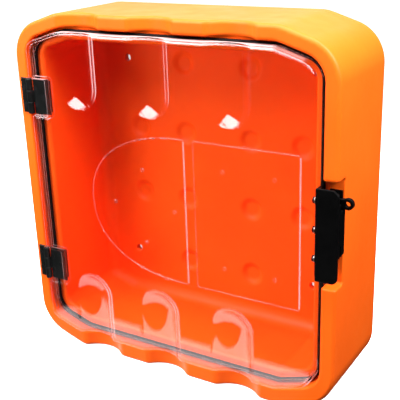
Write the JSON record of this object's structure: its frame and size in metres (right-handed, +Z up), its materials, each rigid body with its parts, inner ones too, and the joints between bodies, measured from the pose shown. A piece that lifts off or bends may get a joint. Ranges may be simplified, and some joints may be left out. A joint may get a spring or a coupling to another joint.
{
  "type": "wall cabinet for deck safety equipment",
  "caption": "Double-skinned orange plastic wall cabinet with a clear moulded door, two side hinges, a rubber door seal and a padlockable draw latch.",
  "frame": {"origin": "centre of the case's underside", "axes": "+X towards the latch side, +Y into the wall, +Z up"},
  "size_m": [0.5675, 0.188, 0.566],
  "materials": {
    "case_plastic": "satin rotational-moulded polyethylene",
    "seal_rubber": "matt sponge rubber",
    "hinge_black": "satin moulded nylon",
    "latch_black": "satin moulded nylon",
    "stainless": "turned stainless steel",
    "blackened_steel": "satin black coated steel",
    "brass_insert": "knurled brass",
    "clear_sheet": "clear glossy thermoformed plastic sheet"
  },
  "bodies": {
    "case": {"case_shell": "case_plastic", "door_seal": "seal_rubber", "case_hinge_leaf_upper": "hinge_black", "case_hinge_leaf_lower": "hinge_black", "case_hinge_screws": "blackened_steel", "case_hinge_inserts": "brass_insert", "hinge_pin_upper": "stainless", "hinge_pin_lower": "stainless", "latch_keeper": "latch_black", "keeper_screws": "stainless", "keeper_inserts": "brass_insert"},
    "door": {"door_panel": "clear_sheet", "door_hinge_leaf_upper": "hinge_black", "door_hinge_leaf_lower": "hinge_black", "door_hinge_screws": "blackened_steel", "door_hinge_backing_plates": "hinge_black", "door_hinge_nuts": "stainless", "latch_base": "latch_black", "latch_base_screws": "blackened_steel", "latch_base_washers": "stainless", "latch_pivot_pin": "stainless"},
    "lever": {"latch_lever": "latch_black", "latch_hook_pin": "stainless"},
    "hook": {"latch_hook": "latch_black"}
  },
  "joints": [
    {"name": "door_swing", "type": "hinge", "parent": "case", "child": "door", "pos_m": [-0.245, -0.0905, 0.286], "axis": [0, 0, -1], "range_deg": [0, 150]},
    {"name": "latch_lever_swing", "type": "hinge", "parent": "door", "child": "lever", "pos_m": [0.2735, -0.088, 0.296], "axis": [0, 0, 1], "range_deg": [0, 75]},
    {"name": "latch_hook_swing", "type": "hinge", "parent": "lever", "child": "hook", "pos_m": [0.2765, -0.0955, 0.303], "axis": [0, 0, 1], "range_deg": [-90, 0]}
  ],
  "couplings": [
    {"joint": "latch_hook_swing", "follows": "latch_lever_swing", "ratio": -1.2}
  ]
}
